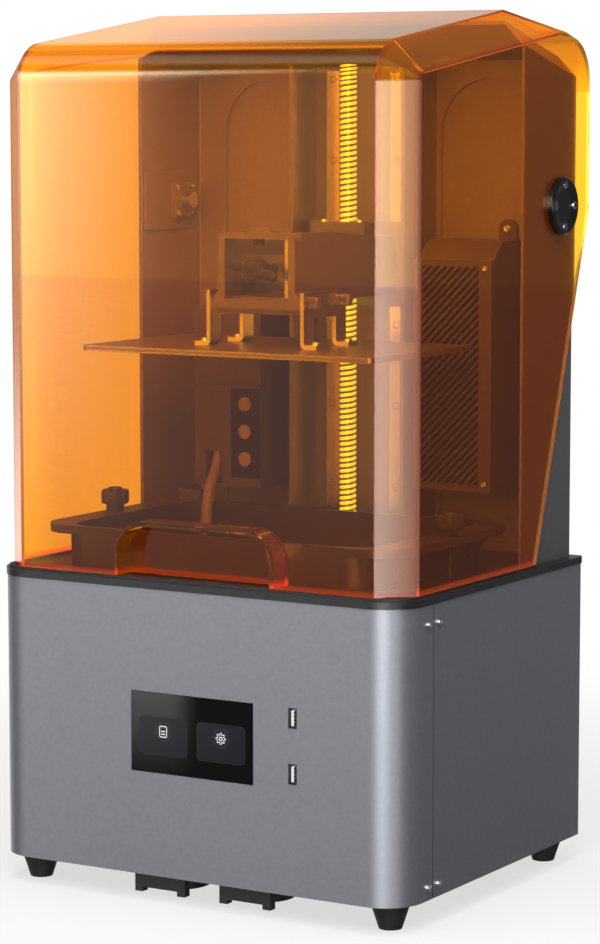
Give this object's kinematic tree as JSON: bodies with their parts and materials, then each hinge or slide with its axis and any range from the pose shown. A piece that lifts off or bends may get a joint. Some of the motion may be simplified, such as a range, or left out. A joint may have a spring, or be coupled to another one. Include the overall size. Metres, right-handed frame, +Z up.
{
  "type": "resin printer",
  "caption": "Desktop resin printer: grey base with touch screen, vat over a light panel, lifting build platform on a tower, and an amber lid that flips up.",
  "frame": {"origin": "on the floor under the middle of the whole printer with its lid shut", "axes": "+Z up, the front with the screen faces -Y, +X to the right seen from the front"},
  "size_m": [0.339, 0.2764, 0.616],
  "materials": {
    "body_grey": "fine metallic grain, satin",
    "floor_steel": "matt black paint",
    "rubber_black": "matt",
    "deck_black": "satin black",
    "screen_glass": "gloss black glass",
    "bright_metal": "plated",
    "board_green": "circuit board",
    "lamp_grey": "moulded",
    "plain_aluminium": "extruded",
    "black_plastic": "moulded, fine texture",
    "cap_black": "satin gloss",
    "tower_grey": "satin dark grey",
    "channel_grey": "anodised",
    "rail_steel": "ground steel",
    "motor_black": "black",
    "bearing_metal": "anodised",
    "nut_brass": "turned",
    "carbon_black": "open cell",
    "button_white": "smooth",
    "fitting_white": "moulded",
    "hose_silicone": "milky silicone",
    "arm_metal": "black anodised",
    "leg_steel": "bent sheet",
    "plate_aluminium": "blasted",
    "vat_black": "black anodised",
    "film_clear": "clear film",
    "lid_amber": "clear amber acrylic"
  },
  "bodies": {
    "printer": {"base_front_shell": "body_grey", "base_rear_shell": "body_grey", "base_floor": "floor_steel", "feet": "rubber_black", "deck_gasket": "rubber_black", "deck_plate": "deck_black", "touch_screen": "screen_glass", "lcd_panel": "screen_glass", "usb_ports": "bright_metal", "usb_board": "board_green", "mainboard": "board_green", "light_source": "lamp_grey", "led_heatsink": "plain_aluminium", "power_supply": "plain_aluminium", "power_inlet": "black_plastic", "switch_frame": "black_plastic", "fan_housing_left": "black_plastic", "fan_housing_right": "black_plastic", "limit_switch": "black_plastic", "filter_grille": "black_plastic", "filter_box": "black_plastic", "pump_box": "black_plastic", "pump_covers": "black_plastic", "tower_shell": "tower_grey", "tower_roof": "tower_grey", "inner_panel": "tower_grey", "z_channel": "channel_grey", "linear_rails": "rail_steel", "hinge_pins": "rail_steel", "z_motor": "motor_black", "screw_bearing": "bearing_metal", "hinge_brackets": "bearing_metal", "carbon_filter": "carbon_black", "hose_fitting": "fitting_white", "pump_hose": "hose_silicone", "resin_vat": "vat_black", "film_frame": "vat_black", "vat_film": "film_clear"},
    "lid": {"lid_shell": "lid_amber", "hinge_caps": "cap_black"},
    "carriage": {"rail_blocks": "rail_steel", "carriage_plate": "arm_metal", "nut_bracket": "bearing_metal", "lead_nut": "nut_brass", "arm_beam": "arm_metal", "arm_frame": "arm_metal", "clamp_block": "arm_metal", "platform_block": "arm_metal", "platform_legs": "leg_steel", "build_plate": "plate_aluminium"},
    "clamp_knob": {"clamp_knob": "black_plastic"},
    "lead_screw": {"lead_screw": "rail_steel"},
    "vat_knob_left": {"vat_knob_left": "black_plastic"},
    "vat_knob_right": {"vat_knob_right": "black_plastic"},
    "pump_button_1": {"pump_button_1": "button_white"},
    "pump_button_2": {"pump_button_2": "button_white"},
    "pump_button_3": {"pump_button_3": "button_white"},
    "fan_rotor_left": {"fan_rotor_left": "black_plastic"},
    "fan_rotor_right": {"fan_rotor_right": "black_plastic"},
    "power_switch": {"power_switch": "black_plastic"}
  },
  "joints": [
    {"name": "lid_hinge", "type": "hinge", "parent": "printer", "child": "lid", "pos_m": [0, 0.09315, 0.4795], "axis": [-1, 0, 0], "range_deg": [0, 90]},
    {"name": "z_slide", "type": "slide", "parent": "printer", "child": "carriage", "axis": [0, 0, 1], "range_m": [-0.148, 0.085]},
    {"name": "screw_turn", "type": "hinge", "parent": "printer", "child": "lead_screw", "pos_m": [0, 0.07915, 0.42], "axis": [0, 0, 1], "range_deg": [-13400, 7700]},
    {"name": "clamp_knob_turn", "type": "hinge", "parent": "carriage", "child": "clamp_knob", "pos_m": [0, -0.04285, 0.436], "axis": [0, -1, 0], "range_deg": [-180, 90]},
    {"name": "vat_knob_left_turn", "type": "hinge", "parent": "printer", "child": "vat_knob_left", "pos_m": [-0.138, -0.02285, 0.262], "axis": [0, 0, 1], "range_deg": [0, 360]},
    {"name": "vat_knob_right_turn", "type": "hinge", "parent": "printer", "child": "vat_knob_right", "pos_m": [0.138, -0.02285, 0.262], "axis": [0, 0, 1], "range_deg": [0, 360]},
    {"name": "pump_button_1_press", "type": "slide", "parent": "printer", "child": "pump_button_1", "axis": [0, 1, 0], "range_m": [0, 0.0012], "stiffness_N_per_m": 1200},
    {"name": "pump_button_2_press", "type": "slide", "parent": "printer", "child": "pump_button_2", "axis": [0, 1, 0], "range_m": [0, 0.0012], "stiffness_N_per_m": 1200},
    {"name": "pump_button_3_press", "type": "slide", "parent": "printer", "child": "pump_button_3", "axis": [0, 1, 0], "range_m": [0, 0.0012], "stiffness_N_per_m": 1200},
    {"name": "fan_left_spin", "type": "hinge", "parent": "printer", "child": "fan_rotor_left", "pos_m": [-0.035, -0.09785, 0.012], "axis": [0, 0, 1], "continuous": true},
    {"name": "fan_right_spin", "type": "hinge", "parent": "printer", "child": "fan_rotor_right", "pos_m": [0.035, -0.09785, 0.012], "axis": [0, 0, 1], "continuous": true},
    {"name": "power_switch_rock", "type": "hinge", "parent": "printer", "child": "power_switch", "pos_m": [-0.062, 0.12865, 0.058], "axis": [1, 0, 0], "range_deg": [-10, 10]}
  ],
  "couplings": [
    {"joint": "screw_turn", "follows": "z_slide", "rad_per_m": 1570.8}
  ]
}
